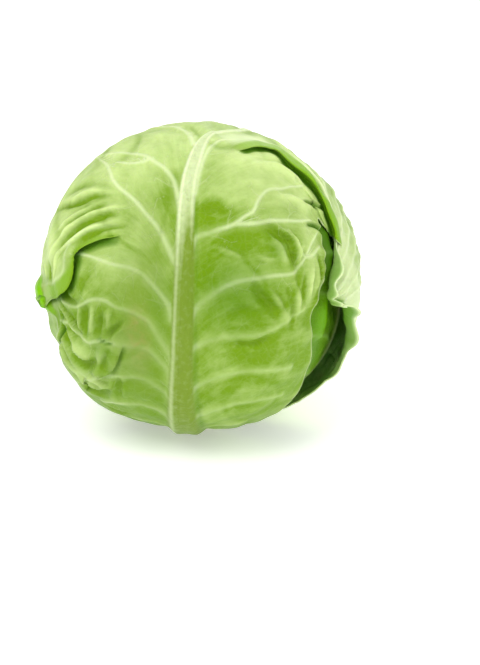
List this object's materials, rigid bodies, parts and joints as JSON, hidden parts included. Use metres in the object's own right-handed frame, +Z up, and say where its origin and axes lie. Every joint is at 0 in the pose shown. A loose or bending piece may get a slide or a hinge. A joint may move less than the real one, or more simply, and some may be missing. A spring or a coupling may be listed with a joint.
{
  "type": "cabbage head",
  "caption": "Whole round head of green cabbage with ribbed, veined wrapper leaves folded over a firm heart, standing on its cut stem.",
  "frame": {"origin": "centre of the stem's flat cut face, on the surface the head stands on", "axes": "+Z up through the crown, the front leaf's midrib towards -Y, +X to the right seen from the front"},
  "size_m": [0.1982, 0.1956, 0.1881],
  "materials": {
    "leaf_front": "waxy fresh leaf, yellow-green, whitish midrib and veins, thin grey bloom low down",
    "leaf_outer": "waxy fresh leaf, a little greener, whitish midrib and veins, bright green margin",
    "leaf_under": "waxy fresh leaf, saturated green where it lies in shade under the wrapper leaves",
    "heart": "pale green packed inner leaves",
    "stem": "cream cut stem, dry, with a ring of fibres"
  },
  "bodies": {
    "root": {"stem": "stem", "heart": "heart", "leaf_right": "leaf_outer", "leaf_front": "leaf_front", "leaf_left": "leaf_outer", "leaf_under_right": "leaf_under", "leaf_under_left": "leaf_under"}
  },
  "joints": []
}
